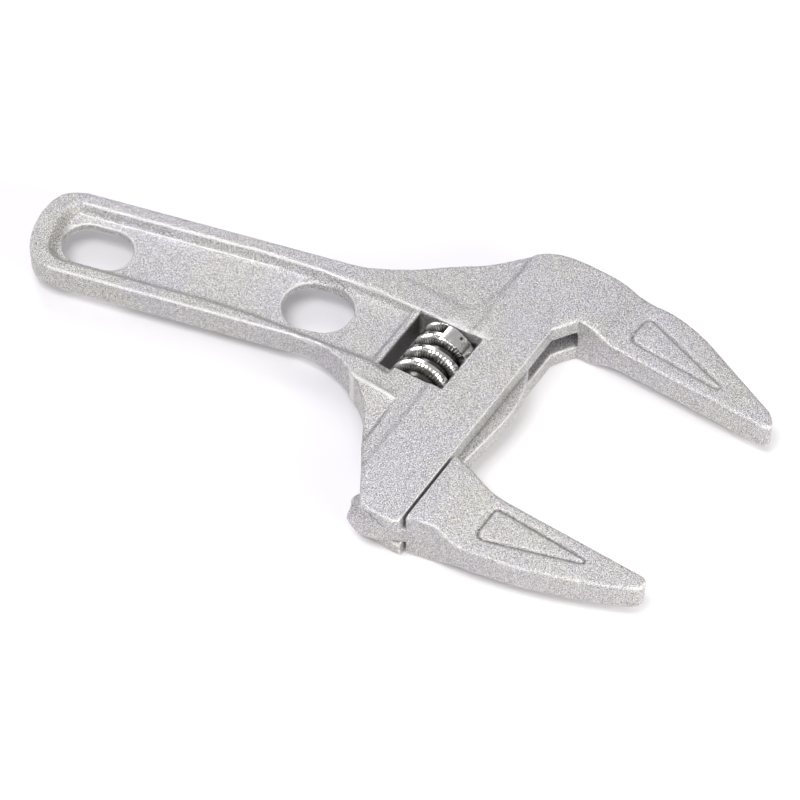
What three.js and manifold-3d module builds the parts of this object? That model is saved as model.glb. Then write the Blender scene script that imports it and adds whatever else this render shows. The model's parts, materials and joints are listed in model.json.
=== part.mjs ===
// Wide-opening adjustable wrench with a short handle.
//
// Millimetres, +Z up. The wrench lies flat. The handle runs along X with the jaws at +X, and the
// fixed jaw is on the +Y side. The head is turned 15 degrees on the handle, so its pieces are drawn
// in the head's own axes: u points out along the jaws, v points along the rack towards the fixed jaw,
// and both start at the middle of the worm window, half way through the thickness.
//
// Pieces: body_casting (handle, head and fixed jaw in one), moving_jaw (jaw, web and round rack in one),
// worm, worm_pin and worm_spring.

import * as THREE from "three";
import { mergeVertices } from "three/addons/utils/BufferGeometryUtils.js";
import Module from "manifold-3d";

const wasm = await Module();
wasm.setup();

// ---------------------------------------------------------------- driving dimensions

const CLEARANCE = 0.3;
const HEAD_TURN = THREE.MathUtils.degToRad(15);

const HANDLE_END_X = -113.9;
const HANDLE_NEAR_Y = -5;
const HANDLE_FAR_Y = 22.3;
const HANDLE_THICKNESS = 8;
const WEB_THICKNESS = 2.6;
const NEAR_RIM_WIDTH = 4;
const FAR_RIM_WIDTH = 5.8;
const END_RIM_WIDTH = 7.4;

const HEAD_THICKNESS = 16.6;
const NECK_THICKNESS = 15.4;
const BLADE_THICKNESS = 8.8;
const NECK_START_U = -34;
const BOSS_EDGE_U = 5.2;
const RAMP_START_U = 31;
const RAMP_END_U = 37;
const JAW_TIP_U = 84.2;
const MOVING_TIP_U = 82.7;

const MOUTH_FACE_U = 22.5;
const FIXED_FACE_V = 28.1;
const MOVING_FACE_V = -27;
const HEAD_END_V = -50.8;

const WINDOW_LEFT_U = -10.2;
const WINDOW_RIGHT_U = 9.2;
const WINDOW_HALF_LENGTH = 9.5;
const WINDOW_FLOOR_HALF = 4.6;
const RIB_WIDTH = 2;

const WORM_RADIUS = 7.9;
const WORM_ROOT_RADIUS = 5.7;
const WORM_LOW_V = -8.6;
const WORM_HIGH_V = 9;
const WORM_CHAMFER = 0.7;
const THREAD_PITCH = 5;
const THREAD_LAND = 2;
const THREAD_FLANK = Math.tan(THREE.MathUtils.degToRad(20));
const THREAD_PHASE_V = 0.9;

const PIN_RADIUS = 2.3;
const PIN_HEAD_RADIUS = 3.2;
const PIN_HEAD_LENGTH = 3;
const PIN_LOW_V = -26;
const PIN_HIGH_V = 16;

const SPRING_WIRE_RADIUS = 0.35;
const SPRING_MEAN_RADIUS = 3.35;
const SPRING_TURNS = 3;
const SPRING_POCKET_RADIUS = 4.1;
const SPRING_POCKET_DEPTH = 3.8;

const RACK_RADIUS = 6.1;
const RACK_CENTRE_U = 12.35;
const RACK_LOW_V = -51.6;
const RACK_HIGH_V = 13;
const RACK_END_CHAMFER = 2;
const TOOTH_CLEARANCE = 0.4;
const TONGUE_THICKNESS = 5.6;
const TONGUE_REACH_U = 26.1;
const SLOT_END_U = TONGUE_REACH_U + 0.5;
const JAW_GAP = 0.8;

const THROUGH = 200; // longer than anything it has to cut through
const CURVE_STEPS = 4;
const ROUND_STEPS = 40;

// ---------------------------------------------------------------- solids

function solid(geometry) {
  const bare = geometry.clone();
  bare.deleteAttribute("normal");
  bare.deleteAttribute("uv");
  const merged = mergeVertices(bare, 1e-4);
  return new wasm.Manifold(
    new wasm.Mesh({
      numProp: 3,
      vertProperties: new Float32Array(merged.attributes.position.array),
      triVerts: new Uint32Array(merged.index.array),
    }),
  );
}

function geometryOf(manifold) {
  const mesh = manifold.getMesh();
  const geometry = new THREE.BufferGeometry();
  geometry.setAttribute("position", new THREE.BufferAttribute(mesh.vertProperties, 3));
  geometry.setIndex(new THREE.BufferAttribute(mesh.triVerts, 1));
  geometry.computeVertexNormals();
  return geometry;
}

function joined(manifolds) {
  return manifolds.reduce((sum, next) => sum.add(next));
}

// A flat outline given thickness about z = 0.
function slab(shape, thickness, curveSegments = CURVE_STEPS) {
  const options = { depth: thickness, bevelEnabled: false, curveSegments };
  return new THREE.ExtrudeGeometry(shape, options).translate(0, 0, -thickness / 2);
}

// An edge-on profile drawn in u and z, swept the whole way along v.
function sweptProfile(points) {
  const options = { depth: THROUGH, bevelEnabled: false };
  return new THREE.ExtrudeGeometry(new THREE.Shape(points), options)
    .rotateX(Math.PI / 2)
    .translate(0, THROUGH / 2, 0);
}

// A round bar along v, drawn as [radius, v] points that start and end on the axis.
function roundBar(profile) {
  return new THREE.LatheGeometry(
    profile.map(([radius, v]) => new THREE.Vector2(radius, v)),
    ROUND_STEPS,
  );
}

function plainBar(radius, lowV, highV) {
  return roundBar([
    [0, lowV],
    [radius, lowV],
    [radius, highV],
    [0, highV],
  ]);
}

function box(lowU, highU, lowV, highV, thickness) {
  return new THREE.BoxGeometry(highU - lowU, highV - lowV, thickness).translate(
    (lowU + highU) / 2,
    (lowV + highV) / 2,
    0,
  );
}

// A point given in the head's axes, as a point of the handle's axes.
function headPoint(u, v) {
  return new THREE.Vector2(u, v).rotateAround(new THREE.Vector2(), -HEAD_TURN);
}

function turned(geometry) {
  return geometry.rotateZ(-HEAD_TURN);
}

// ---------------------------------------------------------------- body casting

function lineThrough(path, points) {
  points.forEach((point) => path.lineTo(point.x, point.y));
}

function bodyOutline() {
  const handleMiddleY = (HANDLE_NEAR_Y + HANDLE_FAR_Y) / 2;
  const at = (x, y) => new THREE.Vector2(x, y);
  const shape = new THREE.Shape();

  shape.moveTo(HANDLE_END_X + 9, HANDLE_NEAR_Y);
  shape.lineTo(-36, HANDLE_NEAR_Y);
  shape.splineThru([
    at(-29.6, -5.9),
    at(-23, -8.7),
    at(-17.2, -13.5),
    at(-12.6, -19.4),
    at(-10, -26.2),
    at(-8.1, -33),
    at(-5.2, -41.8),
    headPoint(9.8, -48.2),
  ]);
  lineThrough(shape, [
    headPoint(12.2, HEAD_END_V + 0.8),
    headPoint(14.8, HEAD_END_V),
    headPoint(19.8, HEAD_END_V),
    headPoint(MOUTH_FACE_U - 0.8, HEAD_END_V + 1.2),
    headPoint(MOUTH_FACE_U, HEAD_END_V + 3.2),
    headPoint(MOUTH_FACE_U, FIXED_FACE_V - 6),
    headPoint(MOUTH_FACE_U + 4.1, FIXED_FACE_V),
    headPoint(JAW_TIP_U - 1, FIXED_FACE_V),
    headPoint(JAW_TIP_U, FIXED_FACE_V + 1.4),
    headPoint(JAW_TIP_U - 0.8, FIXED_FACE_V + 3.4),
    headPoint(JAW_TIP_U - 3, FIXED_FACE_V + 5.6),
  ]);
  shape.splineThru([
    headPoint(66.5, 39.8),
    headPoint(55.3, 43.9),
    headPoint(45.5, 46.2),
    headPoint(36, 46.7),
    headPoint(26, 46.3),
    headPoint(15.5, 45.2),
    headPoint(8.5, 43),
    headPoint(2.2, 37.4),
    headPoint(-3.6, 31.8),
    headPoint(-12, 26.2),
    at(-16.5, 24.1),
    at(-26, HANDLE_FAR_Y),
  ]);
  shape.lineTo(HANDLE_END_X + 9.5, HANDLE_FAR_Y);
  shape.splineThru([
    at(HANDLE_END_X + 4.2, HANDLE_FAR_Y - 2),
    at(HANDLE_END_X + 1.2, HANDLE_FAR_Y - 6.4),
    at(HANDLE_END_X, handleMiddleY),
    at(HANDLE_END_X + 1.2, HANDLE_NEAR_Y + 6.4),
    at(HANDLE_END_X + 4.2, HANDLE_NEAR_Y + 1.8),
    at(HANDLE_END_X + 9, HANDLE_NEAR_Y),
  ]);
  return shape;
}

// Edge-on, the casting is thin in the handle, thickens up the neck and thins again into the jaw.
function bodyProfile() {
  const top = [
    [-THROUGH, HANDLE_THICKNESS / 2],
    [NECK_START_U, HANDLE_THICKNESS / 2],
    [BOSS_EDGE_U, NECK_THICKNESS / 2],
    [BOSS_EDGE_U + 0.6, HEAD_THICKNESS / 2],
    [RAMP_START_U, HEAD_THICKNESS / 2],
    [RAMP_END_U, BLADE_THICKNESS / 2],
    [THROUGH, BLADE_THICKNESS / 2],
  ];
  return mirroredProfile(top);
}

function mirroredProfile(top) {
  const upper = top.map(([u, z]) => new THREE.Vector2(u, z));
  const lower = top.map(([u, z]) => new THREE.Vector2(u, -z));
  return [...lower, ...upper.reverse()];
}

// The recess in each side of the handle. Its floor climbs towards the rib beside the window.
function handleRecess(side) {
  const ribU = WINDOW_LEFT_U - RIB_WIDTH;
  const outline = new THREE.Shape();
  const near = HANDLE_NEAR_Y + NEAR_RIM_WIDTH;
  const far = HANDLE_FAR_Y - FAR_RIM_WIDTH;
  const start = HANDLE_END_X + END_RIM_WIDTH;
  const corner = 6;
  outline.moveTo(start + corner, near);
  outline.lineTo(-44, near);
  lineThrough(outline, [
    headPoint(-30, -10),
    headPoint(ribU, -WINDOW_HALF_LENGTH + 0.6),
    headPoint(ribU, WINDOW_HALF_LENGTH - 0.6),
    headPoint(-27, WINDOW_HALF_LENGTH - 0.9),
  ]);
  outline.lineTo(-38, far - 0.6);
  outline.lineTo(-48, far);
  outline.lineTo(start + corner, far);
  outline.quadraticCurveTo(start, far, start, far - corner);
  outline.lineTo(start, near + corner);
  outline.quadraticCurveTo(start, near, start + corner, near);

  const webHalf = WEB_THICKNESS / 2;
  const above = sweptProfile(
    [
      [-THROUGH, webHalf],
      [NECK_START_U, webHalf],
      [ribU, WINDOW_FLOOR_HALF - 0.7],
      [THROUGH, WINDOW_FLOOR_HALF - 0.7],
      [THROUGH, THROUGH],
      [-THROUGH, THROUGH],
    ].map(([u, z]) => new THREE.Vector2(u, z)),
  );
  const recess = solid(slab(outline, THROUGH)).intersect(solid(turned(above)));
  return side > 0 ? recess : recess.mirror([0, 0, 1]);
}

// Both sides are lowered to the rib between the recess and the window.
function ribShelf(side) {
  const lowU = WINDOW_LEFT_U - RIB_WIDTH - 0.2;
  const shelf = box(lowU, WINDOW_LEFT_U + 1, -WINDOW_HALF_LENGTH, WINDOW_HALF_LENGTH, HEAD_THICKNESS);
  return solid(turned(shelf.translate(0, 0, side * (WINDOW_FLOOR_HALF + HEAD_THICKNESS / 2))));
}

// An oblong hole: straight sides and round ends, along the handle.
function handleHole(lowX, highX, middleY, width) {
  const radius = width / 2;
  const shape = new THREE.Shape();
  shape.absarc(highX - radius, middleY, radius, -Math.PI / 2, Math.PI / 2);
  shape.absarc(lowX + radius, middleY, radius, Math.PI / 2, (3 * Math.PI) / 2);
  return solid(slab(shape, THROUGH, 12));
}

function bodyCasting() {
  const blank = solid(slab(bodyOutline(), HEAD_THICKNESS)).intersect(
    solid(turned(sweptProfile(bodyProfile()))),
  );
  const window = box(WINDOW_LEFT_U, WINDOW_RIGHT_U, -WINDOW_HALF_LENGTH, WINDOW_HALF_LENGTH, THROUGH);
  const rackBore = plainBar(RACK_RADIUS + CLEARANCE, -THROUGH, THROUGH).translate(RACK_CENTRE_U, 0, 0);
  const slotThickness = TONGUE_THICKNESS + 2 * CLEARANCE;
  const slot = box(RACK_CENTRE_U, SLOT_END_U, -THROUGH, THROUGH, slotThickness);
  const pinBore = plainBar(PIN_RADIUS + CLEARANCE, -THROUGH, PIN_HIGH_V + CLEARANCE);
  const headBoreHigh = PIN_LOW_V + PIN_HEAD_LENGTH + CLEARANCE;
  const pinHeadBore = plainBar(PIN_HEAD_RADIUS + CLEARANCE, -THROUGH, headBoreHigh);

  const cuts = [
    handleRecess(1),
    handleRecess(-1),
    ribShelf(1),
    ribShelf(-1),
    handleHole(-105.8, -86.2, 7.7, 13.2),
    handleHole(-43.8, -24.3, 7.3, 15),
    ...[window, rackBore, slot, pinBore, pinHeadBore].map((cut) => solid(turned(cut))),
  ];
  return geometryOf(blank.subtract(joined(cuts)));
}

// ---------------------------------------------------------------- moving jaw

function movingJawOutline() {
  const backU = MOUTH_FACE_U + JAW_GAP;
  const shape = new THREE.Shape();
  shape.moveTo(backU, -46.4);
  shape.lineTo(backU + 1.2, -47.4);
  shape.splineThru(
    [
      [30, -46],
      [36, -46],
      [43.5, -45.1],
      [57.6, -41.5],
      [71.2, -36.5],
      [MOVING_TIP_U - 1.8, -32],
    ].map(([u, v]) => new THREE.Vector2(u, v)),
  );
  shape.lineTo(MOVING_TIP_U, MOVING_FACE_V - 2.6);
  shape.lineTo(MOVING_TIP_U - 0.6, MOVING_FACE_V);
  shape.lineTo(36, MOVING_FACE_V);
  shape.lineTo(31, MOVING_FACE_V + 0.5);
  shape.lineTo(backU + 1.6, MOVING_FACE_V + 2.2);
  shape.lineTo(backU + 0.4, MOVING_FACE_V + 1.9);
  shape.lineTo(backU, MOVING_FACE_V + 1);
  return shape;
}

function movingJawProfile() {
  return mirroredProfile([
    [0, HEAD_THICKNESS / 2],
    [RAMP_START_U - 1, HEAD_THICKNESS / 2],
    [RAMP_END_U - 1, BLADE_THICKNESS / 2],
    [THROUGH, BLADE_THICKNESS / 2],
  ]);
}

// The web joins the rack to the jaw through the slot, and runs on past the jaw as a bowed tongue.
function tongue() {
  const blockU = MOUTH_FACE_U + JAW_GAP + 1;
  const shape = new THREE.Shape();
  shape.moveTo(RACK_CENTRE_U, RACK_LOW_V + 0.6);
  shape.lineTo(RACK_CENTRE_U + 3, RACK_LOW_V + 0.6);
  shape.lineTo(MOUTH_FACE_U - 3.5, RACK_LOW_V + 1.6);
  shape.lineTo(blockU, -47);
  shape.lineTo(blockU, MOVING_FACE_V + 1);
  shape.splineThru(
    [
      [MOUTH_FACE_U + 2, -21],
      [MOUTH_FACE_U + 3.1, -11],
      [TONGUE_REACH_U, -2.5],
      [MOUTH_FACE_U + 2.9, 3],
      [MOUTH_FACE_U + 1.6, 7.6],
      [MOUTH_FACE_U - 0.6, RACK_HIGH_V - 1],
    ].map(([u, v]) => new THREE.Vector2(u, v)),
  );
  shape.lineTo(RACK_CENTRE_U, RACK_HIGH_V - 1);
  return solid(slab(shape, TONGUE_THICKNESS));
}

function rackBlank() {
  const bar = roundBar([
    [0, RACK_LOW_V],
    [RACK_RADIUS - RACK_END_CHAMFER, RACK_LOW_V],
    [RACK_RADIUS, RACK_LOW_V + RACK_END_CHAMFER],
    [RACK_RADIUS, RACK_HIGH_V - RACK_END_CHAMFER],
    [RACK_RADIUS - RACK_END_CHAMFER, RACK_HIGH_V],
    [0, RACK_HIGH_V],
  ]);
  return solid(bar.translate(RACK_CENTRE_U, 0, 0));
}

function threadHalfWidth(radius) {
  return THREAD_LAND / 2 + (WORM_RADIUS - radius) * THREAD_FLANK;
}

// One gap between rack teeth: the thread's own section, opened by the running clearance and
// leaned over by the thread's lead angle.
function toothGap(v) {
  const bottomU = WORM_RADIUS + CLEARANCE;
  const openU = RACK_CENTRE_U - RACK_RADIUS - 1;
  const half = (u) => threadHalfWidth(u) + TOOTH_CLEARANCE;
  const shape = new THREE.Shape([
    new THREE.Vector2(openU, v - half(openU)),
    new THREE.Vector2(bottomU, v - half(bottomU)),
    new THREE.Vector2(bottomU, v + half(bottomU)),
    new THREE.Vector2(openU, v + half(openU)),
  ]);
  const meanRadius = (WORM_RADIUS + WORM_ROOT_RADIUS) / 2;
  const leadAngle = Math.atan(THREAD_PITCH / (2 * Math.PI * meanRadius));
  const gap = slab(shape, 3 * RACK_RADIUS).translate(0, -v, 0);
  return solid(gap.rotateX(leadAngle).translate(0, v, 0));
}

function toothGaps() {
  const first = Math.ceil((RACK_LOW_V - THREAD_PHASE_V) / THREAD_PITCH);
  const last = Math.floor((RACK_HIGH_V - THREAD_PHASE_V) / THREAD_PITCH);
  const gaps = [];
  for (let tooth = first; tooth <= last; tooth += 1) {
    gaps.push(toothGap(THREAD_PHASE_V + tooth * THREAD_PITCH));
  }
  return joined(gaps);
}

function movingJaw() {
  const jaw = solid(slab(movingJawOutline(), HEAD_THICKNESS)).intersect(
    solid(sweptProfile(movingJawProfile())),
  );
  return geometryOf(joined([jaw, tongue(), rackBlank()]).subtract(toothGaps()));
}

// ---------------------------------------------------------------- worm, pin and spring

// A helix about v whose cross-sections keep one side square to the axis.
class HelixPath extends THREE.Curve {
  constructor(radius, pitch, middleV, turns) {
    super();
    Object.assign(this, { radius, pitch, middleV, turns });
  }

  angle(t) {
    return (t - 0.5) * this.turns * 2 * Math.PI;
  }

  getPoint(t) {
    const angle = this.angle(t);
    const v = this.middleV - (this.pitch * angle) / (2 * Math.PI);
    return new THREE.Vector3(this.radius * Math.cos(angle), v, this.radius * Math.sin(angle));
  }

  getPointAt(t) {
    return this.getPoint(t);
  }

  computeFrenetFrames(segments) {
    const frames = { tangents: [], normals: [], binormals: [] };
    for (let step = 0; step <= segments; step += 1) {
      const angle = this.angle(step / segments);
      const outward = new THREE.Vector3(Math.cos(angle), 0, Math.sin(angle));
      const along = new THREE.Vector3(-Math.sin(angle), 0, Math.cos(angle));
      frames.tangents.push(along);
      frames.normals.push(outward);
      frames.binormals.push(new THREE.Vector3(0, 1, 0));
    }
    return frames;
  }
}

function wormThread() {
  const sink = 0.4;
  const root = WORM_ROOT_RADIUS - sink;
  const section = new THREE.Shape([
    new THREE.Vector2(0, -threadHalfWidth(root)),
    new THREE.Vector2(WORM_RADIUS - root, -THREAD_LAND / 2),
    new THREE.Vector2(WORM_RADIUS - root, THREAD_LAND / 2),
    new THREE.Vector2(0, threadHalfWidth(root)),
  ]);
  const length = WORM_HIGH_V - WORM_LOW_V;
  const turns = Math.ceil(length / THREAD_PITCH) + 3;
  const path = new HelixPath(root, THREAD_PITCH, THREAD_PHASE_V, turns);
  const stepsPerTurn = 28;
  return new THREE.ExtrudeGeometry(section, {
    steps: turns * stepsPerTurn,
    extrudePath: path,
    bevelEnabled: false,
  });
}

function worm() {
  const core = plainBar(WORM_ROOT_RADIUS, WORM_LOW_V, WORM_HIGH_V);
  const reach = WORM_RADIUS + 0.1;
  const envelope = roundBar([
    [0, WORM_LOW_V],
    [reach - WORM_CHAMFER, WORM_LOW_V],
    [reach, WORM_LOW_V + WORM_CHAMFER],
    [reach, WORM_HIGH_V - WORM_CHAMFER],
    [reach - WORM_CHAMFER, WORM_HIGH_V],
    [0, WORM_HIGH_V],
  ]);
  const bore = plainBar(PIN_RADIUS + CLEARANCE, -THROUGH, THROUGH);
  const springPocket = plainBar(SPRING_POCKET_RADIUS, WORM_HIGH_V - SPRING_POCKET_DEPTH, THROUGH);
  const threaded = solid(core).add(solid(wormThread())).intersect(solid(envelope));
  return geometryOf(threaded.subtract(joined([solid(bore), solid(springPocket)])));
}

function wormPin() {
  const headEnd = PIN_LOW_V + PIN_HEAD_LENGTH;
  const chamfer = 0.5;
  const pin = roundBar([
    [0, PIN_LOW_V],
    [PIN_HEAD_RADIUS - chamfer, PIN_LOW_V],
    [PIN_HEAD_RADIUS, PIN_LOW_V + chamfer],
    [PIN_HEAD_RADIUS, headEnd],
    [PIN_RADIUS, headEnd],
    [PIN_RADIUS, PIN_HIGH_V - chamfer],
    [PIN_RADIUS - chamfer, PIN_HIGH_V],
    [0, PIN_HIGH_V],
  ]);
  const slotWidth = 0.9;
  const driverSlot = box(-PIN_HEAD_RADIUS, PIN_HEAD_RADIUS, PIN_LOW_V - 1, PIN_LOW_V + 1.1, slotWidth);
  return geometryOf(solid(pin).subtract(solid(driverSlot)));
}

function wormSpring() {
  const lowV = WORM_HIGH_V - SPRING_POCKET_DEPTH + CLEARANCE + SPRING_WIRE_RADIUS;
  const highV = WINDOW_HALF_LENGTH - CLEARANCE - SPRING_WIRE_RADIUS;
  const pitch = (highV - lowV) / SPRING_TURNS;
  const path = new HelixPath(SPRING_MEAN_RADIUS, pitch, (lowV + highV) / 2, SPRING_TURNS);
  const wire = new THREE.Shape();
  wire.absarc(0, 0, SPRING_WIRE_RADIUS, 0, 2 * Math.PI);
  return new THREE.ExtrudeGeometry(wire, {
    steps: SPRING_TURNS * 20,
    extrudePath: path,
    bevelEnabled: false,
    curveSegments: 8,
  });
}

// ---------------------------------------------------------------- the wrench

function piece(name, geometry, color, roughness, metalness) {
  const material = new THREE.MeshStandardMaterial({ color, roughness, metalness });
  const mesh = new THREE.Mesh(geometry, material);
  mesh.name = name;
  return mesh;
}

const BLASTED_ALUMINIUM = ["#c9c7c6", 0.5, 0.7];
const PLATED_STEEL = ["#b9b8b4", 0.22, 1];
const SPRING_STEEL = ["#7d7c78", 0.35, 1];

const head = new THREE.Group();
head.rotation.z = -HEAD_TURN;
head.add(piece("moving_jaw", movingJaw(), ...BLASTED_ALUMINIUM));
head.add(piece("worm", worm(), ...PLATED_STEEL));
head.add(piece("worm_pin", wormPin(), ...PLATED_STEEL));
head.add(piece("worm_spring", wormSpring(), ...SPRING_STEEL));

const wrench = new THREE.Group();
wrench.add(piece("body_casting", bodyCasting(), ...BLASTED_ALUMINIUM));
wrench.add(head);

// The origin is the middle of the footprint, on the surface that the wrench lies on.
const bounds = new THREE.Box3().setFromObject(wrench, true);
const middle = bounds.getCenter(new THREE.Vector3());
wrench.position.set(-middle.x, -middle.y, -bounds.min.z);

export default wrench;
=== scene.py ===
"""Looks for the wide-opening adjustable wrench.

The two castings are modelled afresh around the frame, with their soft cast edges, drafted recess,
ridges and outline grooves. The worm, its pin and its spring are turned and wound pieces. Lengths
are in millimetres until a piece is finished, then its mesh is scaled to metres and put in its
place.

Two sets of axes are used, both starting at the middle of the worm window, half way through the
thickness. The handle's axes are x along the handle, y towards the fixed jaw and z up. The head's
axes are turned 15 degrees: u points out along the jaws and v along the rack towards the fixed
jaw.
"""

import json
import math

import bmesh
import bpy
import numpy as np
from mathutils import Matrix, Vector


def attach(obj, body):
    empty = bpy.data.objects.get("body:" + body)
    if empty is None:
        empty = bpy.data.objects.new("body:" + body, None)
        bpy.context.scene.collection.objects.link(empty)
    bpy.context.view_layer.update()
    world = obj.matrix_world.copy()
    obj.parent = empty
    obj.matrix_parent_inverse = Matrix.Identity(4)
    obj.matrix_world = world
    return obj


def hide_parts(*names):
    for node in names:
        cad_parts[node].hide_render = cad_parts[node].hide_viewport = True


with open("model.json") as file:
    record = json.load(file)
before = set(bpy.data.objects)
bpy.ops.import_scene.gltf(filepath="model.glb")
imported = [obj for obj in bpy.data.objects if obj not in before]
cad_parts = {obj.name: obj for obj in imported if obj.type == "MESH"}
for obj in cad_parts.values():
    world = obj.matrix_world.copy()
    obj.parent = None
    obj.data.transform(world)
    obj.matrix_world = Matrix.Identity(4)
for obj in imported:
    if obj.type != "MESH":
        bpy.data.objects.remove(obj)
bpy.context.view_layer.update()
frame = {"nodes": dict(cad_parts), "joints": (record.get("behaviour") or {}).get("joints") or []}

MM = 0.001
joints = {joint["name"]: joint for joint in frame["joints"]}
worm_centre = Vector(joints["worm_spin"]["pos_m"])
slide_axis = Vector(joints["jaw_slide"]["axis"])
HEAD_TURN = math.atan2(slide_axis.x, slide_axis.y)
TURN = Matrix.Rotation(-HEAD_TURN, 4, "Z")
PLACE = Matrix.Translation(worm_centre) @ Matrix.Scale(MM, 4)

# ------------------------------------------------------------------ dimensions, mm

HEAD_HALF = 8.27  # half the head's thickness
NECK_HALF = 7.65
HANDLE_HALF = 4.0
BLADE_HALF = 4.4
WEB_HALF = 1.3
NECK_START_U = -34
BOSS_EDGE_U = 5.2
WINDOW_LEFT_U = -10.2
WINDOW_RIGHT_U = 9.2
WINDOW_HALF = 9.5
RIB_U = -12.2
MOUTH_U = 22.5
JAW_BACK_U = 23.25
FIXED_FACE_V = 28.1
MOVING_FACE_V = -27
RACK_U = 12.35
RACK_RADIUS = 6.1
RACK_LOW_V = -51.6
RACK_HIGH_V = 13
SLOT_HALF = 3.1
SLOT_END_U = 26.6
TONGUE_HALF = 2.8
WORM_RADIUS = 7.9
WORM_ROOT = 5.7
WORM_LOW_V = -8.6
WORM_HIGH_V = 8.9
PITCH = 5.0
PHASE_V = 0.9
PIN_RADIUS = 2.3
EDGE_SPARE = 1.2  # metal left on a face that is cut crisply after the rest is softened
REACH = 120.0  # longer than anything a cutter goes through
RACK_PLAY = 0.35
PIN_PLAY = 0.3
GRAIN_TURN = (0.61, 0.87, 0.34)

# ------------------------------------------------------------------ solids


def as_object(bm, name="tool", turned=False):
    """A bmesh as an object. A shape drawn in the head's axes is turned into the handle's."""
    if turned:
        bm.transform(TURN)
    bmesh.ops.recalc_face_normals(bm, faces=bm.faces)
    mesh = bpy.data.meshes.new(name)
    bm.to_mesh(mesh)
    bm.free()
    piece = bpy.data.objects.new(name, mesh)
    bpy.context.scene.collection.objects.link(piece)
    return piece


def plate(outline, low, high, turned=False):
    """A flat outline given thickness from low to high."""
    bm = bmesh.new()
    face = bm.faces.new([bm.verts.new((x, y, low)) for x, y in outline])
    grown = bmesh.ops.extrude_face_region(bm, geom=[face])["geom"]
    verts = [part for part in grown if isinstance(part, bmesh.types.BMVert)]
    bmesh.ops.translate(bm, vec=(0, 0, high - low), verts=verts)
    return as_object(bm, turned=turned)


def swept(profile, length=REACH, turned=True):
    """An edge-on profile in u and z, swept the whole way along v."""
    bm = bmesh.new()
    face = bm.faces.new([bm.verts.new((u, -length, z)) for u, z in profile])
    grown = bmesh.ops.extrude_face_region(bm, geom=[face])["geom"]
    verts = [part for part in grown if isinstance(part, bmesh.types.BMVert)]
    bmesh.ops.translate(bm, vec=(0, 2 * length, 0), verts=verts)
    return as_object(bm, turned=turned)


def hull(points, turned=True):
    """The convex solid around some points."""
    bm = bmesh.new()
    for point in points:
        bm.verts.new(point)
    made = bmesh.ops.convex_hull(bm, input=bm.verts)
    inner = [part for part in made["geom_interior"] if isinstance(part, bmesh.types.BMVert)]
    bmesh.ops.delete(bm, geom=inner, context="VERTS")
    return as_object(bm, turned=turned)


def block(low, high, turned=True):
    """A straight-sided block between two corners."""
    corners = [
        (u, v, z) for u in (low[0], high[0]) for v in (low[1], high[1]) for z in (low[2], high[2])
    ]
    return hull(corners, turned)


def turned_bar(profile, centre_u=0.0, segments=64, turned=True):
    """A round bar along v, spun from (radius, v) points that start and end on the axis."""
    bm = bmesh.new()
    verts = [bm.verts.new((radius, v, 0)) for radius, v in profile]
    edges = [bm.edges.new(pair) for pair in zip(verts, verts[1:])]
    bmesh.ops.spin(
        bm,
        geom=verts + edges,
        cent=(0, 0, 0),
        axis=(0, 1, 0),
        angle=math.tau,
        steps=segments,
        use_merge=True,
    )
    bmesh.ops.remove_doubles(bm, verts=bm.verts, dist=1e-4)
    bmesh.ops.translate(bm, vec=(centre_u, 0, 0), verts=bm.verts)
    return as_object(bm, turned=turned)


def pit(outline, low, high, draft):
    """A recess cutter: the outline at the top, drawn in by the draft on the way down."""
    bm = bmesh.new()
    face = bm.faces.new([bm.verts.new((x, y, high)) for x, y in outline])
    bm.normal_update()
    if face.normal.z < 0:
        bmesh.ops.reverse_faces(bm, faces=[face])
    depth = high - low
    bmesh.ops.inset_region(
        bm,
        faces=[face],
        thickness=draft * depth,
        depth=-depth,
        use_boundary=True,
        use_even_offset=True,
    )
    bmesh.ops.holes_fill(bm, edges=bm.edges)
    return as_object(bm)


def mirrored(piece):
    """A copy of a shape on the other side of the middle plane."""
    bm = bmesh.new()
    bm.from_mesh(piece.data)
    bmesh.ops.scale(bm, vec=(1, 1, -1), verts=bm.verts)
    return as_object(bm)


def both_sides(pieces):
    return pieces + [mirrored(piece) for piece in pieces]


def settle(piece):
    """Replaces a piece's mesh by what its modifiers make of it."""
    graph = bpy.context.evaluated_depsgraph_get()
    mesh = bpy.data.meshes.new_from_object(piece.evaluated_get(graph))
    piece.modifiers.clear()
    old, piece.data = piece.data, mesh
    bpy.data.meshes.remove(old)
    return piece


def combine(piece, tools, operation):
    """Joins, cuts or keeps with each tool in turn, and removes the tools."""
    for tool in tools:
        step = piece.modifiers.new(operation.lower(), "BOOLEAN")
        step.operation = operation
        step.solver = "MANIFOLD"
        step.object = tool
    settle(piece)
    for tool in tools:
        mesh = tool.data
        bpy.data.objects.remove(tool)
        bpy.data.meshes.remove(mesh)
    return piece


def soften(piece, voxel, rounds):
    """Recasts a piece as one even skin and rounds its edges."""
    skin = piece.modifiers.new("skin", "REMESH")
    skin.mode = "VOXEL"
    skin.voxel_size = voxel
    skin.adaptivity = 0
    smooth = piece.modifiers.new("round", "SMOOTH")
    smooth.factor = 0.5
    smooth.iterations = rounds
    return settle(piece)


def thin_out(piece, triangles):
    """Brings a skin under a number of triangles, mostly where it is flat."""
    now = sum(len(face.vertices) - 2 for face in piece.data.polygons)
    if now > triangles:
        fewer = piece.modifiers.new("fewer", "DECIMATE")
        fewer.ratio = triangles / now
        settle(piece)
    return piece


# ------------------------------------------------------------------ outlines


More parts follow.
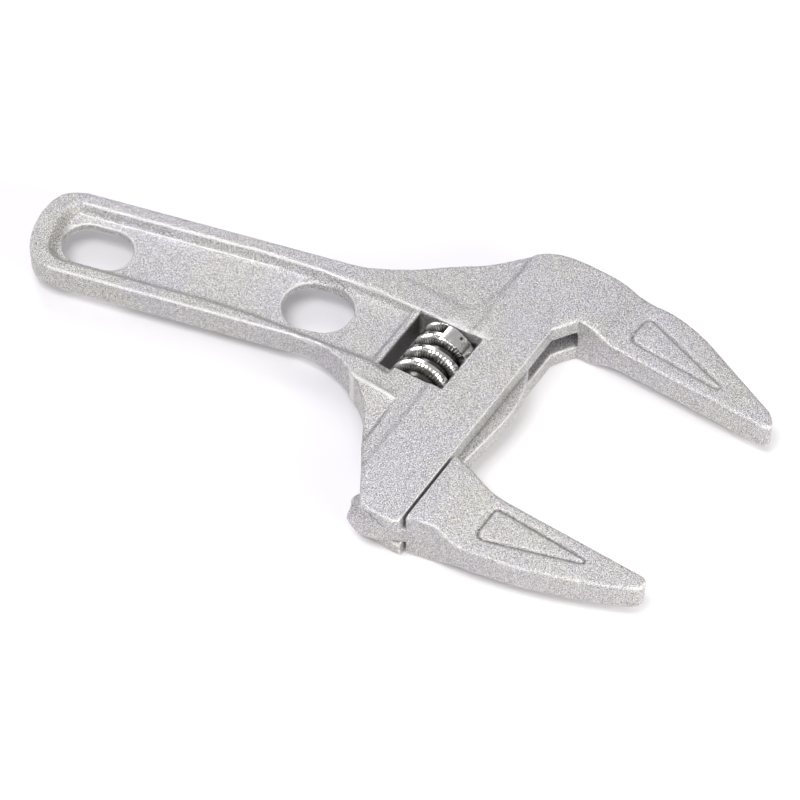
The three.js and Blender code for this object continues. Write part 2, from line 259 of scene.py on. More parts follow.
def flowing(points, steps=6):
    """A smooth run through some points, starting at the first one."""
    last = len(points) - 1
    run = [points[0]]
    for i in range(last):
        a, b = points[max(i - 1, 0)], points[i]
        c, d = points[i + 1], points[min(i + 2, last)]
        for step in range(1, steps + 1):
            t = step / steps
            run.append(
                tuple(
                    q
                    + t * (r - p) / 2
                    + t * t * (3 * (r - q) - (r - p) - (s - q) / 2)
                    + t * t * t * (2 * (q - r) + (r - p + s - q) / 2)
                    for p, q, r, s in zip(a, b, c, d)
                )
            )
    return run


def head_point(u, v):
    point = TURN @ Vector((u, v, 0))
    return (point.x, point.y)


def head_points(points):
    return [head_point(u, v) for u, v in points]


def two_sided(top):
    """An edge-on profile from its top line, the same below."""
    return [(u, -z) for u, z in top] + [(u, z) for u, z in reversed(top)]


def body_outline():
    near_side = flowing(
        [
            (-36, -5),
            (-29.6, -5.9),
            (-23, -8.7),
            (-17.2, -13.5),
            (-12.6, -19.4),
            (-10, -26.2),
            (-8.1, -33),
            (-5.2, -41.8),
            head_point(9.8, -48.2),
        ]
    )
    head_end = head_points(
        [
            (11.6, -50.5),
            (14.6, -51.0),
            (20.3, -51.0),
            (22.4, -49.6),
            (MOUTH_U + EDGE_SPARE, -48),
            (MOUTH_U + EDGE_SPARE, 23.86),
            (26.6, FIXED_FACE_V),
            (82.6, FIXED_FACE_V),
            (83.9, 28.9),
            (84.1, 30.2),
            (83.2, 31.9),
        ]
    )
    far_side = flowing(
        head_points(
            [
                (81.2, 33.7),
                (66.5, 39.8),
                (55.3, 44.4),
                (45.5, 46.5),
                (38, 46.2),
                (31, 45.6),
                (24, 45.7),
                (15.5, 45.2),
                (8.5, 43),
                (2.2, 37.4),
                (-3.6, 31.8),
                (-12, 26.2),
            ]
        )
        + [(-16.5, 24.1), (-26, 22.3)]
    )
    handle_end = flowing(
        [
            (-104.4, 22.3),
            (-109.7, 20.3),
            (-112.7, 15.9),
            (-113.9, 8.65),
            (-112.7, 1.4),
            (-109.7, -3.2),
            (-104.9, -5),
        ]
    )
    return near_side + head_end + far_side + handle_end


JAW_RAMP = [
    (28.5, HEAD_HALF),
    (30.5, 7.95),
    (32.5, 7.05),
    (34.8, 5.6),
    (37, 4.7),
    (39.5, BLADE_HALF),
]


def body_profile():
    return two_sided(
        [
            (-REACH, HANDLE_HALF),
            (NECK_START_U, HANDLE_HALF),
            (BOSS_EDGE_U, NECK_HALF),
            (BOSS_EDGE_U + 0.6, HEAD_HALF),
            *JAW_RAMP,
            (REACH, BLADE_HALF),
        ]
    )


def neck_top(u):
    """The height of the neck's top face at a place along the head."""
    share = (u - NECK_START_U) / (BOSS_EDGE_U - NECK_START_U)
    return HANDLE_HALF + (NECK_HALF - HANDLE_HALF) * share


RECESS_TOP = 6.6
RECESS_DRAFT = 0.75


def handle_recess():
    """The drafted recess in the top side of the handle, with its floor climbing to the rib."""
    outline = flowing(
        [
            (-100, -3.4),
            (-104.6, -3),
            (-108.4, -0.4),
            (-110, 4),
            (-110, 13),
            (-108.4, 17.6),
            (-104.6, 20.1),
        ]
    )
    outline += flowing(
        [(-100, 20.45), (-52, 20.4), (-38, 19.6), (-21.3, 17.2), head_point(-12.2, 10.2)]
    )
    outline += head_points([(-5, 10.2), (-5, -12.6)])
    outline += [(-14.6, -8.0), (-34, -6.0), (-48, -4.1), (-60, -3.4)]
    cutter = pit(outline, 0.9, RECESS_TOP, RECESS_DRAFT)
    floor = swept(
        [
            (-REACH, WEB_HALF),
            (NECK_START_U, WEB_HALF),
            (RIB_U, 3.8),
            (RIB_U + 0.1, 4.6),
            (REACH, 4.6),
            (REACH, 20),
            (-REACH, 20),
        ]
    )
    return combine(cutter, [floor], "INTERSECT")


def ridge_slopes():
    """The neck falls away outside its two ridges, with a shallow step above the upper one."""
    above = 12

    def fall(start, end, outer_end, outer_start, drop):
        points = []
        for (u, v), lower in ((start, 0), (end, 0), (outer_end, drop), (outer_start, drop)):
            points += [(u, v, neck_top(u) - lower), (u, v, above)]
        return hull(points)

    lower_left = fall((-33, -11.6), (-17, -15.2), (-19, -27), (-36, -22), 2.4)
    lower_right = fall((-17, -15.2), (1, -18.4), (1, -34), (-17, -27), 2.0)
    step = [(-20, 16.8), (0.8, 16.0), (2.4, 17.4), (5.2, 29.9), (5.2, 50), (-24, 40)]
    shallow = hull(
        [(u, v, neck_top(u) - 0.32) for u, v in step] + [(u, v, above) for u, v in step]
    )
    return both_sides([lower_left, lower_right, shallow])


def end_draft():
    """The head's lower end face leans in towards the underside."""
    top_v, low_v = -50.9, -49.0
    return hull(
        [(u, v, z) for u in (-REACH, REACH) for v, z in ((top_v, HEAD_HALF), (low_v, -HEAD_HALF))]
        + [(u, -REACH, z) for u in (-REACH, REACH) for z in (HEAD_HALF, -HEAD_HALF)]
    )


def spear(tip, tail, width, height):
    """A low tapered bead that ends a ridge."""
    (tip_u, tip_v), (tail_u, tail_v) = tip, tail
    along = Vector((tail_u - tip_u, tail_v - tip_v)).normalized()
    side = Vector((-along.y, along.x)) * width / 2
    middle_u, middle_v = (tip_u + tail_u) / 2, (tip_v + tail_v) / 2
    top_u, top_v = tip_u + along.x * 1.2, tip_v + along.y * 1.2
    low = neck_top(tip_u) - 1
    return hull(
        [
            (tip_u, tip_v, low),
            (tip_u, tip_v, neck_top(tip_u) + 0.1),
            (top_u, top_v, neck_top(top_u) + height),
            (middle_u, middle_v, neck_top(middle_u) + height * 0.8),
            (tail_u, tail_v, neck_top(tail_u)),
            (tail_u, tail_v, low - 1),
            (middle_u + side.x, middle_v + side.y, neck_top(middle_u) - 0.1),
            (middle_u - side.x, middle_v - side.y, neck_top(middle_u) - 0.1),
        ]
    )


def groove(corners, level, width=1.15, depth=0.95):
    """A shallow engraved line round a closed outline: short hulls from point to point."""
    cutters = []
    for (u0, v0), (u1, v1) in zip(corners, corners[1:] + corners[:1]):
        side = Vector((v0 - v1, u1 - u0)).normalized() * width / 2
        points = []
        for u, v in ((u0, v0), (u1, v1)):
            points += [
                (u + side.x, v + side.y, level + 0.6),
                (u - side.x, v - side.y, level + 0.6),
                (u + side.x, v + side.y, level),
                (u - side.x, v - side.y, level),
                (u, v, level - depth),
            ]
        cutters.append(hull(points))
    return cutters


FIXED_PANEL = [
    (39.4, 35.6),
    (39.6, 40.2),
    (40.6, 41.6),
    (42.2, 41.4),
    (66.6, 33.6),
    (66.9, 32.6),
    (66, 32.1),
    (41, 32.9),
    (39.7, 33.6),
]
MOVING_PANEL = [
    (39.3, -31.6),
    (39.3, -38.6),
    (40.1, -40.1),
    (41.6, -40.3),
    (65.9, -32.4),
    (66.4, -31.5),
    (65.6, -30.9),
    (41, -30.3),
    (39.7, -30.6),
]


def long_hole(low_x, high_x, middle_y, width):
    """An oblong cutter with round ends."""
    radius = width / 2
    outline = []
    for centre_x, start in ((high_x - radius, -math.pi / 2), (low_x + radius, math.pi / 2)):
        for step in range(25):
            angle = start + math.pi * step / 24
            x = centre_x + radius * math.cos(angle)
            y = middle_y + radius * math.sin(angle)
            outline.append((x, y))
    return plate(outline, -REACH, REACH)


def body_casting():
    piece = plate(body_outline(), -HEAD_HALF, HEAD_HALF)
    combine(piece, [swept(body_profile())], "INTERSECT")
    combine(piece, both_sides([handle_recess()]) + ridge_slopes() + [end_draft()], "DIFFERENCE")
    ridge_bead = spear((0.4, -18.2), (-15.4, -16.9), 2.8, 0.9)
    combine(piece, both_sides([ridge_bead]), "UNION")
    soften(piece, 0.5, 5)
    rack_wall, pin_wall = RACK_RADIUS + RACK_PLAY, PIN_RADIUS + PIN_PLAY
    bore_profile = [(0, -REACH), (rack_wall, -REACH), (rack_wall, REACH), (0, REACH)]
    bore = turned_bar(bore_profile, RACK_U)
    pin_bore = turned_bar([(0, -24), (pin_wall, -24), (pin_wall, 16.3), (0, 16.3)])
    head_bore = turned_bar([(0, -REACH), (3.6, -REACH), (3.6, -22.7), (0, -22.7)])
    window = block((WINDOW_LEFT_U, -WINDOW_HALF, -REACH), (WINDOW_RIGHT_U, WINDOW_HALF, REACH))
    slot = block((RACK_U, -REACH, -SLOT_HALF), (SLOT_END_U, REACH, SLOT_HALF))
    holes = [long_hole(-105.8, -86.2, 7.7, 13.2), long_hole(-43.8, -24.3, 7.3, 15)]
    grooves = both_sides(groove(FIXED_PANEL, BLADE_HALF))
    mouth_corners = [(MOUTH_U, -REACH), (30, -REACH), (26.6, FIXED_FACE_V), (MOUTH_U, 22.1)]
    mouth = hull([(u, v, z) for u, v in mouth_corners for z in (-REACH, REACH)])
    combine(piece, [bore, pin_bore, head_bore, window, slot, mouth] + holes + grooves, "DIFFERENCE")
    return piece


# ------------------------------------------------------------------ moving jaw


def moving_outline():
    back_u = JAW_BACK_U - EDGE_SPARE
    outer = flowing(
        [
            (JAW_BACK_U, -47.6),
            (30, -46),
            (36, -46),
            (43.5, -45.1),
            (57.6, -41.5),
            (71.2, -36.5),
            (80.9, -32),
        ]
    )
    inner = [
        (82.4, -30.4),
        (82.5, -28.6),
        (81.5, MOVING_FACE_V),
        (36, MOVING_FACE_V),
        (31, MOVING_FACE_V + 0.5),
        (JAW_BACK_U + 1.6, MOVING_FACE_V + 2.2),
        (JAW_BACK_U, MOVING_FACE_V + 2.2),
        (back_u, MOVING_FACE_V + 1.5),
        (back_u, -47.4),
    ]
    return outer + inner


def tongue():
    block_u = MOUTH_U + 1.8
    bow = flowing(
        [
            (block_u, MOVING_FACE_V + 1),
            (24.5, -21),
            (25.6, -11),
            (26.1, -2.5),
            (25.4, 3),
            (24.1, 7.6),
            (21.9, 12),
        ]
    )
    outline = [(RACK_U, -51), (15.3, -51), (19, -50), (block_u, -47.2)] + bow + [(RACK_U, 12)]
    return plate(outline, -TONGUE_HALF, TONGUE_HALF, turned=True)


def thread_half(radius):
    return 1.0 + (WORM_RADIUS - radius) * math.tan(math.radians(20))


def screw_thread():
    """The worm's thread: a section screwed round the core, its lower crest edge finely nicked."""
    steps_per_turn, turns = 100, 6
    root, tip = WORM_ROOT - 0.4, WORM_RADIUS
    low_root, high_root = -thread_half(root), thread_half(root)
    start_v = PHASE_V + PITCH * turns / 2
    section = [
        (root, low_root),
        (tip - 0.3, -1.05),
        (tip, -0.75),
        (tip, -0.05),
        (tip, 0.9),
        (tip - 0.15, 1.05),
        (root, high_root),
    ]
    bm = bmesh.new()
    face = bm.faces.new([bm.verts.new((radius, start_v + v, 0)) for radius, v in section])
    bmesh.ops.spin(
        bm,
        geom=[face],
        cent=(0, 0, 0),
        axis=(0, -1, 0),
        dvec=(0, -PITCH / steps_per_turn, 0),
        angle=math.tau * turns,
        steps=steps_per_turn * turns,
    )
    step_angle = math.tau / steps_per_turn
    nick_depth, nicked_band, nicked_side = 0.6, 0.35, -0.4
    for vert in bm.verts:
        angle = math.atan2(vert.co.z, vert.co.x)
        radius = math.hypot(vert.co.x, vert.co.z)
        along = vert.co.y - PHASE_V + PITCH * angle / math.tau
        from_crest = (along + PITCH / 2) % PITCH - PITCH / 2
        nicked = round(angle / step_angle) % 2 == 1
        if nicked and radius > tip - nicked_band and from_crest < nicked_side:
            scale = (radius - nick_depth) / radius
            vert.co.x *= scale
            vert.co.z *= scale
    return as_object(bm)


def run_out():
    """The solid land at the worm's upper end, where the thread runs out of the top."""
    first, last = math.radians(25), math.radians(93)
    steps = 16
    bm = bmesh.new()
    points = [(WORM_ROOT - 0.5, 4.4), (WORM_RADIUS, 4.4), (WORM_RADIUS, 12), (WORM_ROOT - 0.5, 12)]
    face = bm.faces.new(
        [bm.verts.new((r * math.cos(first), v, r * math.sin(first))) for r, v in points]
    )
    bmesh.ops.spin(
        bm, geom=[face], cent=(0, 0, 0), axis=(0, -1, 0), angle=last - first, steps=steps
    )
    return as_object(bm)


def worm():
    piece = turned_bar(
        [(0, WORM_LOW_V), (WORM_ROOT, WORM_LOW_V), (WORM_ROOT, WORM_HIGH_V), (0, WORM_HIGH_V)],
        segments=96,
        turned=False,
    )
    combine(piece, [screw_thread(), run_out()], "UNION")
    reach = WORM_RADIUS - 0.02
    envelope = turned_bar(
        [
            (0, WORM_LOW_V),
            (reach - 0.7, WORM_LOW_V),
            (reach - 0.2, WORM_LOW_V + 0.3),
            (reach + 0.1, WORM_LOW_V + 0.8),
            (reach + 0.1, WORM_HIGH_V - 0.5),
            (reach - 0.3, WORM_HIGH_V),
            (0, WORM_HIGH_V),
        ],
        segments=96,
        turned=False,
    )
    combine(piece, [envelope], "INTERSECT")
    bore_radius = PIN_RADIUS + 0.3
    bore = turned_bar(
        [(0, -REACH), (bore_radius, -REACH), (bore_radius, REACH), (0, REACH)], turned=False
    )
    pocket = turned_bar([(0, 5.2), (4.1, 5.2), (4.1, REACH), (0, REACH)], turned=False)
    dent = hull([(x, v, z) for x in (3.6, 4.6) for v in (7.0, 7.9) for z in (5.6, 8)], turned=False)
    combine(piece, [bore, pocket, dent], "DIFFERENCE")
    piece.data.transform(TURN)
    return piece


def tooth_gap(v):
    """The space between two rack teeth, leaned over by the thread's lead."""
    bottom_u, open_u = WORM_RADIUS + 0.3, RACK_U - RACK_RADIUS - 1
    low, high = thread_half(bottom_u) + 0.4, thread_half(open_u) + 0.4
    lean = math.atan(PITCH / (math.pi * (WORM_RADIUS + WORM_ROOT)))
    points = []
    for z in (-9, 9):
        shift = z * math.tan(lean)
        for u, half in ((bottom_u, low), (open_u, high)):
            points += [(u, v - half - shift, z), (u, v + half - shift, z)]
    return hull(points)


def moving_jaw():
    piece = plate(moving_outline(), -HEAD_HALF, HEAD_HALF, turned=True)
    profile = two_sided([(0, HEAD_HALF), *JAW_RAMP, (REACH, BLADE_HALF)])
    combine(piece, [swept(profile)], "INTERSECT")
    soften(piece, 0.5, 5)
    combine(piece, [block((-REACH, -REACH, -REACH), (JAW_BACK_U, REACH, REACH))], "DIFFERENCE")
    end = 2.0
    rack = turned_bar(
        [
            (0, RACK_LOW_V),
            (RACK_RADIUS - end - 0.6, RACK_LOW_V),
            (RACK_RADIUS - 0.6, RACK_LOW_V + 1.2),
            (RACK_RADIUS, RACK_LOW_V + end + 0.6),
            (RACK_RADIUS, RACK_HIGH_V - end),
            (RACK_RADIUS - end, RACK_HIGH_V),
            (0, RACK_HIGH_V),
        ],
        RACK_U,
    )
    combine(piece, [tongue(), rack], "UNION")
    first = math.ceil((RACK_LOW_V - PHASE_V) / PITCH)
    last = math.floor((RACK_HIGH_V - PHASE_V) / PITCH)
    gaps = [tooth_gap(PHASE_V + tooth * PITCH) for tooth in range(first, last + 1)]
    combine(piece, gaps + both_sides(groove(MOVING_PANEL, BLADE_HALF)), "DIFFERENCE")
    return piece


# ------------------------------------------------------------------ materials


def node(tree, kind, inputs=None, **settings):
    """A node with its settings made and its inputs set or linked."""
    made = tree.nodes.new(kind)
    for name, value in settings.items():
        setattr(made, name, value)
    for name, value in (inputs or {}).items():
        if isinstance(value, bpy.types.NodeSocket):
            tree.links.new(value, made.inputs[name])
        else:
            made.inputs[name].default_value = value
    return made


def new_group(name, inputs, outputs):
    tree = bpy.data.node_groups.new(name, "ShaderNodeTree")
    for label, kind, default in inputs:
        socket = tree.interface.new_socket(label, in_out="INPUT", socket_type=kind)
        socket.default_value = default
    for label, kind in outputs:
        tree.interface.new_socket(label, in_out="OUTPUT", socket_type=kind)
    return tree, tree.nodes.new("NodeGroupInput"), tree.nodes.new("NodeGroupOutput")


def ramp(tree, value, stops):
    made = node(tree, "ShaderNodeValToRGB", {"Fac": value})
    points = made.color_ramp.elements
    while len(points) < len(stops):
        points.new(0.5)
    for point, (place, color) in zip(points, stops):
        point.position = place
        point.color = (*color, 1) if isinstance(color, tuple) else (color, color, color, 1)
    return made.outputs["Color"]


def blasted_grain_group():
    """Fine blasted grain: a speckle of light and dark, a cool and warm tint, and a bumpy normal."""
    tree, given, result = new_group(
        "blasted_grain",
        [
            ("Grain per metre", "NodeSocketFloat", 4700.0),
            ("Contrast", "NodeSocketFloat", 0.5),
            ("Depth", "NodeSocketFloat", 0.0002),
            ("Dark", "NodeSocketColor", (0.4, 0.4, 0.4, 1)),
            ("Light", "NodeSocketColor", (0.8, 0.8, 0.8, 1)),
        ],
        [
            ("Color", "NodeSocketColor"),
            ("Grain", "NodeSocketFloat"),
            ("Normal", "NodeSocketVector"),
        ],
    )
    # The grain is turned off the flat faces, because noise fades on faces square to its lattice.
    place = node(
        tree,
        "ShaderNodeMapping",
        {
            "Vector": node(tree, "ShaderNodeTexCoord").outputs["Object"],
            "Rotation": GRAIN_TURN,
        },
    ).outputs["Vector"]
    fine = node(
        tree,
        "ShaderNodeTexNoise",
        {
            "Vector": place,
            "Scale": given.outputs["Grain per metre"],
            "Detail": 1.0,
            "Roughness": 0.6,
        },
    )
    centred = node(
        tree,
        "ShaderNodeMapRange",
        {"Value": fine.outputs["Fac"], "From Min": 0.42, "From Max": 0.58},
    )
    half = node(
        tree,
        "ShaderNodeMapRange",
        {"Value": given.outputs["Contrast"], "From Max": 1.0, "To Min": 0.5, "To Max": 0.0},
    )
    other = node(
        tree,
        "ShaderNodeMapRange",
        {"Value": given.outputs["Contrast"], "From Max": 1.0, "To Min": 0.5, "To Max": 1.0},
    )
    spread = node(
        tree,
        "ShaderNodeMapRange",
        {
            "Value": centred.outputs["Result"],
            "To Min": half.outputs["Result"],
            "To Max": other.outputs["Result"],
        },
    )
    tone = node(
        tree,
        "ShaderNodeMix",
        {"Factor": spread.outputs["Result"], 6: given.outputs["Dark"], 7: given.outputs["Light"]},
        data_type="RGBA",
    )
    tint_noise = node(
        tree,
        "ShaderNodeTexNoise",
        {"Vector": place, "Scale": 1500.0, "Detail": 0.0},
    )
    tint = ramp(
        tree,
        tint_noise.outputs["Fac"],
        [(0.36, (0.985, 1.0, 0.94)), (0.5, (0.995, 0.99, 0.99)), (0.64, (1.0, 0.965, 1.02))],
    )
    broad_noise = node(tree, "ShaderNodeTexNoise", {"Vector": place, "Scale": 38.0, "Detail": 2.0})
    broad_tint = ramp(
        tree, broad_noise.outputs["Fac"], [(0.38, (0.985, 0.98, 1.01)), (0.62, (1.0, 1.0, 0.955))]
    )
    tinted = tone
    for layer in (tint, broad_tint):
        tinted = node(
            tree,
            "ShaderNodeMix",
            {"Factor": 1.0, 6: tinted.outputs[2], 7: layer},
            data_type="RGBA",
            blend_type="MULTIPLY",
        )
    bump = node(
        tree,
        "ShaderNodeBump",
        {"Height": fine.outputs["Fac"], "Distance": given.outputs["Depth"], "Strength": 1.0},
    )
    tree.links.new(tinted.outputs[2], result.inputs["Color"])
    tree.links.new(fine.outputs["Fac"], result.inputs["Grain"])
    tree.links.new(bump.outputs["Normal"], result.inputs["Normal"])
    return tree


grain_group = blasted_grain_group()


def new_material(name):
    material = bpy.data.materials.new(name)
    material.use_nodes = True
    tree = material.node_tree
    tree.nodes.clear()
    shader = tree.nodes.new("ShaderNodeBsdfPrincipled")
    output = tree.nodes.new("ShaderNodeOutputMaterial")
    tree.links.new(shader.outputs["BSDF"], output.inputs["Surface"])
    return material, tree, shader


def blasted_aluminium(name):
    """Die-cast aluminium, blasted: speckled, with painted highlights on ridges and listed streaks,
    and painted shade in hollows, the engraved outline and the worm's window.
    """
    material, tree, shader = new_material(name)
    grain = node(tree, "ShaderNodeGroup", node_tree=grain_group)
    grain.inputs["Contrast"].default_value = 1.0
    grain.inputs["Dark"].default_value = (0.22, 0.215, 0.22, 1)
    grain.inputs["Light"].default_value = (0.89, 0.885, 0.885, 1)
    painted_light_and_shade = node(tree, "ShaderNodeAttribute", attribute_name="painted_light_and_shade")
    # Painted highlight: raised edges and the listed streaks are mixed towards near white.
    painted_highlight = node(
        tree,
        "ShaderNodeMapRange",
        {"Value": painted_light_and_shade.outputs["Fac"], "From Min": 0.4, "From Max": 1.0, "To Max": 0.6},
    )
    pale = node(
        tree,
        "ShaderNodeMix",
        {"Factor": painted_highlight.outputs["Result"], 6: grain.outputs["Color"], 7: (0.95, 0.95, 0.93, 1)},
        data_type="RGBA",
    )
    # Painted shade: creases, the engraved outline and the worm's window are mixed towards near
    # black.
    painted_shade = node(
        tree,
        "ShaderNodeMapRange",
        {"Value": painted_light_and_shade.outputs["Fac"], "From Min": -0.25, "From Max": -1.0, "To Max": 0.82},
    )
    toned = node(
        tree,
        "ShaderNodeMix",
        {"Factor": painted_shade.outputs["Result"], 6: pale.outputs[2], 7: (0.05, 0.05, 0.045, 1)},
        data_type="RGBA",
    )
    rough = node(
        tree,
        "ShaderNodeMapRange",
        {
            "Value": grain.outputs["Grain"],
            "From Min": 0.3,
            "From Max": 0.7,
            "To Min": 0.52,
            "To Max": 0.36,
        },
    )
    tree.links.new(toned.outputs[2], shader.inputs["Base Color"])
    tree.links.new(rough.outputs["Result"], shader.inputs["Roughness"])
    tree.links.new(grain.outputs["Normal"], shader.inputs["Normal"])
    shader.inputs["Metallic"].default_value = 0.75
    return material


def plated_steel(name, color, roughness):
    material, tree, shader = new_material(name)
    place = node(tree, "ShaderNodeTexCoord").outputs["Object"]
    smear = node(tree, "ShaderNodeTexNoise", {"Vector": place, "Scale": 420.0, "Detail": 4.0})
    rough = node(
        tree,
        "ShaderNodeMapRange",
        {"Value": smear.outputs["Fac"], "To Min": roughness - 0.08, "To Max": roughness + 0.12},
    )
    tone = ramp(tree, smear.outputs["Fac"], [(0.3, tuple(c * 0.8 for c in color)), (0.7, color)])
    bump = node(tree, "ShaderNodeBump", {"Height": smear.outputs["Fac"], "Distance": 0.00002})
    # Painted shade: the thread's root is mixed towards near black by the stored root depth.
    thread_root_shade = node(tree, "ShaderNodeAttribute", attribute_name="thread_root_shade")
    tone = node(
        tree,
        "ShaderNodeMix",
        {"Factor": thread_root_shade.outputs["Fac"], 6: tone, 7: (0.12, 0.12, 0.11, 1)},
        data_type="RGBA",
    ).outputs[2]
    tree.links.new(tone, shader.inputs["Base Color"])
    tree.links.new(rough.outputs["Result"], shader.inputs["Roughness"])
    tree.links.new(bump.outputs["Normal"], shader.inputs["Normal"])
    shader.inputs["Metallic"].default_value = 1.0
    return material


# ------------------------------------------------------------------ finishing


# Strength of the painted shade along the engraved outline.
GROOVE_SHADE = 0.62
FOLD_FULL = 0.15  # mm proud of its surroundings at which an edge's painted highlight is strongest; a crease as deep gets the strongest painted shade


def mark_folds(piece, reach=10):
    """Notes on each vertex how far it stands out of, or lies in, its smoothed surroundings."""
    mesh = piece.data
    count = len(mesh.vertices)
    places = np.empty(count * 3)
    mesh.vertices.foreach_get("co", places)
    places = places.reshape(-1, 3)
    normals = np.empty(count * 3)
    mesh.vertex_normals.foreach_get("vector", normals)
    normals = normals.reshape(-1, 3)
    edges = np.empty(len(mesh.edges) * 2, dtype=np.int64)
    mesh.edges.foreach_get("vertices", edges)
    edges = edges.reshape(-1, 2)
    near = np.bincount(edges.ravel(), minlength=count)[:, None]
    smoothed = places.copy()
    for _ in range(reach):
        total = np.zeros_like(smoothed)
        for axis in range(3):
            total[:, axis] = np.bincount(edges[:, 0], smoothed[edges[:, 1], axis], count)
            total[:, axis] += np.bincount(edges[:, 1], smoothed[edges[:, 0], axis], count)
        smoothed = 0.5 * smoothed + 0.5 * total / np.maximum(near, 1)
    return np.einsum("ij,ij->i", places - smoothed, normals), places


# Painted highlights along crests, standing in for the lamps' glints: points in the handle's axes,
# half width, and lowest distance from the middle plane.
PAINTED_HIGHLIGHTS = [
    ([head_point(-14.6, -17.0), head_point(-0.2, -18.2)], 0.75, 3.0),
    ([(-104, 18.5), (-52, 18.5), (-36, 17.7), (-20, 15.3), head_point(-9.8, 9.9)], 0.4, 3.0),
    ([head_point(-9.8, 9.9), head_point(6.2, 10.4)], 0.45, 5.0),
    ([head_point(6.2, 10.5), head_point(11.0, 10.2)], 0.7, 5.0),
    ([(-105, -4.4), (-60, -4.4), (-36, -4.6), (-29.6, -5.5)], 0.4, 3.0),
    ([(-104, 16.4), (-48, 16.4)], 0.22, 1.0),
]


def streak(places, points, half_width, lowest):
    """1 along a run of points, falling to 0 beside it, and 0 near the middle plane."""
    flat = places[:, :2]
    strength = np.zeros(len(places))
    for start, end in zip(points, points[1:]):
        start, along = np.array(start), np.array(end) - np.array(start)
        share = np.clip((flat - start) @ along / (along @ along), 0, 1)
        away = np.linalg.norm(flat - start - share[:, None] * along, axis=1)
        strength = np.maximum(strength, np.clip(1.5 - away / half_width, 0, 1))
    return np.where(np.abs(places[:, 2]) > lowest, strength, 0)


def groove_shade(places, panel):
    """Painted shade along the blade's engraved outline."""
    corners = head_points(panel + panel[:1])
    return GROOVE_SHADE * streak(places, corners, 0.38, BLADE_HALF - 1.2)


def window_shade(places):
    """Painted shade in the worm's window, by how deep a place lies: 0 outside, 1 well down in it.
    """
    turned_back = places @ np.array(TURN.to_3x3())
    u, v, z = turned_back[:, 0], turned_back[:, 1], np.abs(turned_back[:, 2])
    near = 0.5
    inside = (u > WINDOW_LEFT_U - near) & (u < WINDOW_RIGHT_U + near)
    inside &= np.abs(v) < WINDOW_HALF + near
    return np.where(inside, np.clip((6.6 - z) / 2.5, 0, 1), 0)


def finish_casting(piece, name, body, cad_node, panel, triangles):
    soften(piece, 0.33, 2)
    folds, places = mark_folds(piece)
    # Stored per vertex: painted highlight where positive (edges, listed streaks), painted shade
    # where negative (creases, the worm's window, the engraved outline).
    attribute = piece.data.attributes.new("painted_light_and_shade", "FLOAT", "POINT")
    marks = np.clip(folds / FOLD_FULL, -1, 1)
    if body == "body":
        for points, half_width, lowest in PAINTED_HIGHLIGHTS:
            marks = np.maximum(marks, streak(places, points, half_width, lowest))
        marks = np.minimum(marks, 1 - 2 * window_shade(places))
    groove_dark = groove_shade(places, panel)
    marks = np.where(groove_dark > 0, np.minimum(marks, -groove_dark), marks)
    attribute.data.foreach_set("value", marks.astype(np.float32))
    thin_out(piece, triangles)
    piece.data.transform(PLACE)
    piece.data.shade_smooth()
    piece.name = name
    piece.data.name = name
    piece.data.materials.clear()
    piece.data.materials.append(blasted_aluminium(name + "_metal"))
    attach(piece, body)
    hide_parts(cad_node)


def finish_worm(piece, name):
    """Painted shade in the thread's root, darker the further a place lies below the crest."""
    count = len(piece.data.vertices)
    places = np.empty(count * 3)
    piece.data.vertices.foreach_get("co", places)
    turned_back = places.reshape(-1, 3) @ np.array(TURN.to_3x3())
    radius = np.hypot(turned_back[:, 0], turned_back[:, 2])
    thread_root_shade = np.clip((WORM_RADIUS - 0.15 - radius) / (WORM_RADIUS - WORM_ROOT - 0.6), 0, 1)
    stored = piece.data.attributes.new("thread_root_shade", "FLOAT", "POINT")
    stored.data.foreach_set("value", thread_root_shade.astype(np.float32))
    piece.data.transform(PLACE)
    piece.data.shade_smooth()
    piece.data.set_sharp_from_angle(angle=math.radians(32))
    piece.name = piece.data.name = name
    piece.data.materials.clear()
    piece.data.materials.append(plated_steel("plated_worm_metal", (0.86, 0.85, 0.82), 0.22))
    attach(piece, "worm_screw")
    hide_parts("worm")


finish_casting(
    body_casting(), "cast_body", "body", "body_casting", FIXED_PANEL, 190_000
)
finish_worm(worm(), "turned_worm")
finish_casting(
    moving_jaw(), "cast_moving_jaw", "jaw", "moving_jaw", MOVING_PANEL, 150_000
)

for cad_node, material in (
    ("worm_pin", plated_steel("plated_pin_metal", (0.62, 0.61, 0.58), 0.25)),
    ("worm_spring", plated_steel("spring_wire_metal", (0.3, 0.3, 0.29), 0.35)),
):
    for material_slot in frame["nodes"][cad_node].material_slots:
        material_slot.material = material

# ------------------------------------------------------------------ floor, light and camera


def pale_floor():
    bm = bmesh.new()
    bmesh.ops.create_grid(bm, x_segments=8, y_segments=8, size=1.5)
    bmesh.ops.translate(bm, vec=(0, 0, -0.0002), verts=bm.verts)
    floor = as_object(bm, "floor")
    material, tree, shader = new_material("pale_floor")
    shader.inputs["Base Color"].default_value = (0.77, 0.76, 0.78, 1)
    shader.inputs["Roughness"].default_value = 0.9
    shader.inputs["Emission Color"].default_value = (1, 0.98, 1, 1)
    shader.inputs["Emission Strength"].default_value = 0.1
    floor.data.materials.append(material)


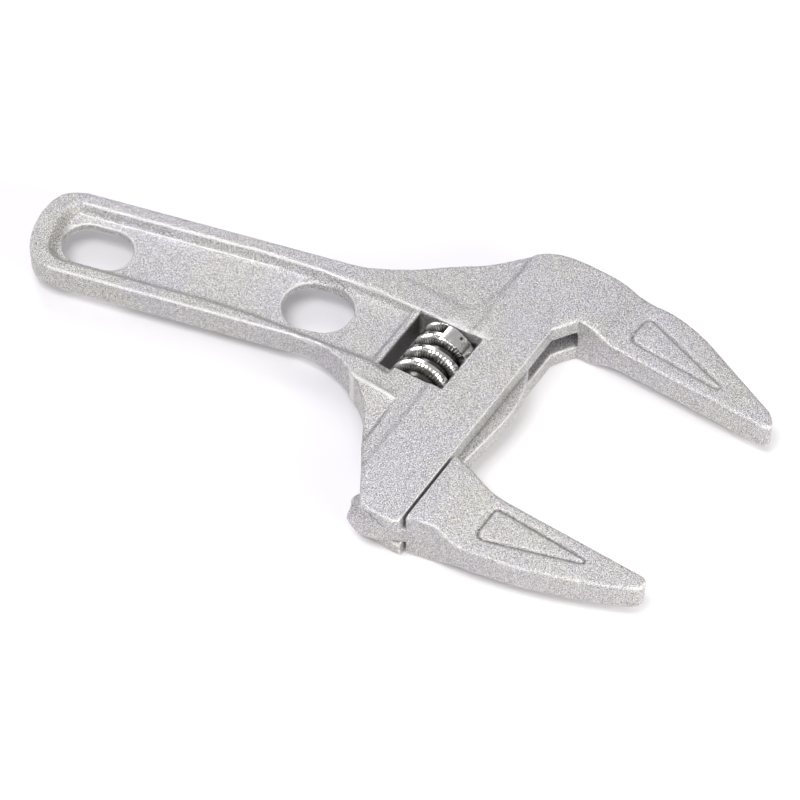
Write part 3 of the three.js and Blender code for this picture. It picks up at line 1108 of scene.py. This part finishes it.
def soft_light(name, place, aim, size, power, color):
    light = bpy.data.lights.new(name, "AREA")
    light.shape = "RECTANGLE"
    light.size, light.size_y = size
    light.energy = power
    light.color = color
    lamp = bpy.data.objects.new(name, light)
    lamp.location = place
    lamp.rotation_euler = (Vector(aim) - Vector(place)).to_track_quat("-Z", "Y").to_euler()
    bpy.context.scene.collection.objects.link(lamp)


def studio():
    pale_floor()
    soft_light("overhead", (-0.14, -0.33, 1.0), (0, 0, 0), (0.5, 0.4), 7.0, (1.0, 0.98, 1.0))
    soft_light("far_side", (-0.46, 0.75, 1.05), (-0.03, 0, 0), (0.5, 0.6), 5.0, (0.97, 0.95, 1.0))
    soft_light("jaw_side", (0.43, -0.18, 0.22), (0.05, -0.02, 0), (0.3, 0.2), 1.6, (1.0, 0.99, 0.9))
    world = bpy.data.worlds.new("studio")
    world.use_nodes = True
    background = world.node_tree.nodes["Background"]
    tree = world.node_tree
    direction = node(tree, "ShaderNodeTexCoord").outputs["Generated"]
    height = node(tree, "ShaderNodeSeparateXYZ", {"Vector": direction})
    sky = ramp(
        tree,
        height.outputs["Z"],
        [(0.0, (0.05, 0.05, 0.05)), (0.3, (0.1, 0.1, 0.1)), (0.55, (0.97, 0.96, 1.0))],
    )
    tree.links.new(sky, background.inputs["Color"])
    background.inputs["Strength"].default_value = 0.5
    bpy.context.scene.world = world


def camera():
    """The wrench is seen from above its near side, from far off."""
    look_at = worm_centre + Vector((-2.664, -18.362, 8.3)) * MM
    azimuth, elevation, distance = math.radians(18.74), math.radians(54.56), 1.021
    back = Vector(
        (
            math.sin(azimuth) * math.cos(elevation),
            -math.cos(azimuth) * math.cos(elevation),
            math.sin(elevation),
        )
    )
    data = bpy.data.cameras.new("camera")
    data.lens = 180
    data.sensor_width = 36
    data.clip_start = 0.05
    eye = bpy.data.objects.new("camera", data)
    eye.location = look_at + back * distance
    eye.rotation_euler = (-back).to_track_quat("-Z", "Y").to_euler()
    bpy.context.scene.collection.objects.link(eye)
    bpy.context.scene.camera = eye


studio()
camera()
bpy.context.scene.view_settings.view_transform = "Standard"
